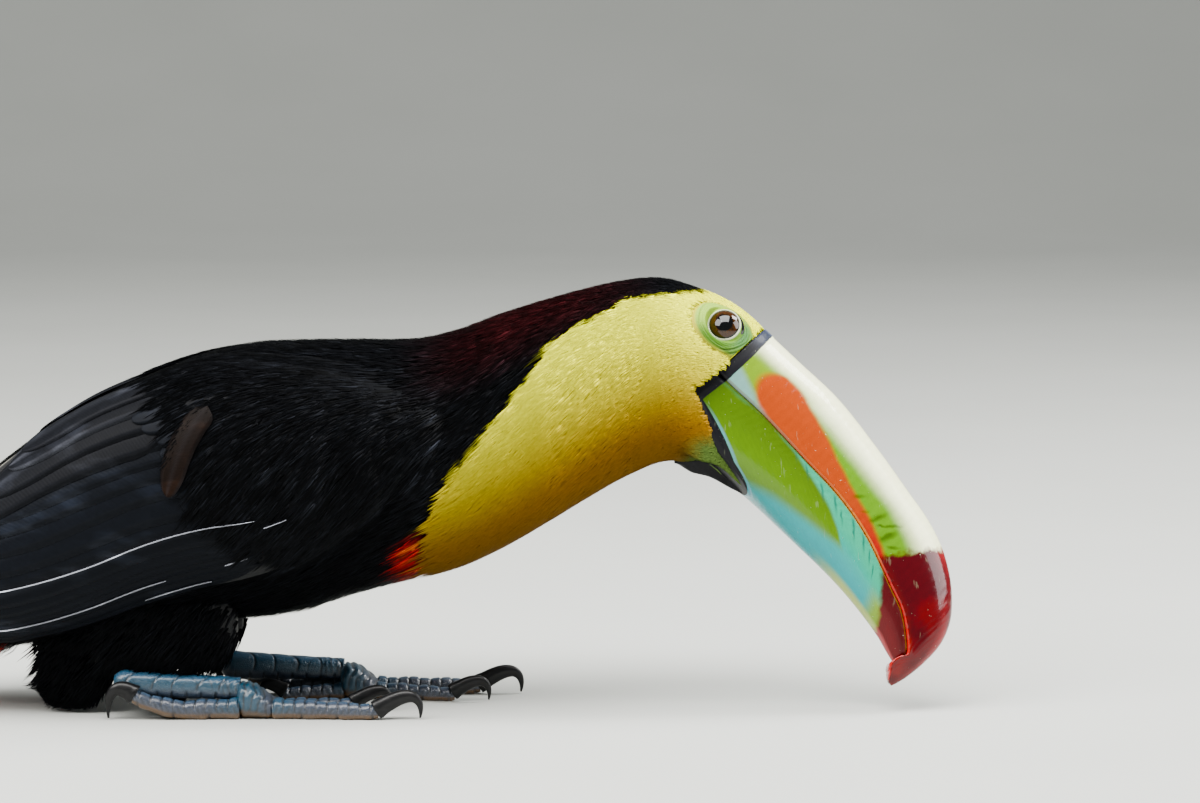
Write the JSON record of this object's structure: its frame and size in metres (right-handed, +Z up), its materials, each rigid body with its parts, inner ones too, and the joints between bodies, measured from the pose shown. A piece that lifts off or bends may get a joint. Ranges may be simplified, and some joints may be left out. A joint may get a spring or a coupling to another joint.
{
  "type": "keel-billed toucan",
  "caption": "Life-size still model of a keel-billed toucan, crouched low on both feet with its big rainbow bill reaching forward and down.",
  "frame": {"origin": "middle of the bird's bounding box seen from above, on the floor under its soles", "axes": "+X the way the body points and the bill reaches, +Y to the bird's left, +Z up"},
  "size_m": [0.4766, 0.0948, 0.1544],
  "materials": {
    "black_feathers": "soft black body feathers",
    "yellow_feathers": "fine yellow face and bib feathers under a black crown and nape",
    "wing_feathers": "smooth black flight feathers with a faint blue sheen",
    "bill_horn": "polished green horn with orange, light blue and dark red fields",
    "eye": "wet dark brown eye",
    "leg_skin": "scaled blue-grey skin with ochre soles",
    "claw_horn": "black horn"
  },
  "bodies": {
    "root": {"trunk": "black_feathers", "neck": "yellow_feathers", "head": "yellow_feathers", "thigh_right": "black_feathers", "thigh_left": "black_feathers", "wing_right": "wing_feathers", "wing_left": "wing_feathers", "tail": "wing_feathers", "bill_upper": "bill_horn", "bill_lower": "bill_horn", "eye_right": "eye", "eye_left": "eye", "tarsus_right": "leg_skin", "tarsus_left": "leg_skin", "foot_right": "leg_skin", "foot_left": "leg_skin", "toe_1_right": "leg_skin", "toe_2_right": "leg_skin", "toe_3_right": "leg_skin", "toe_4_right": "leg_skin", "toe_1_left": "leg_skin", "toe_2_left": "leg_skin", "toe_3_left": "leg_skin", "toe_4_left": "leg_skin", "claw_1_right": "claw_horn", "claw_2_right": "claw_horn", "claw_3_right": "claw_horn", "claw_4_right": "claw_horn", "claw_1_left": "claw_horn", "claw_2_left": "claw_horn", "claw_3_left": "claw_horn", "claw_4_left": "claw_horn"}
  },
  "joints": []
}
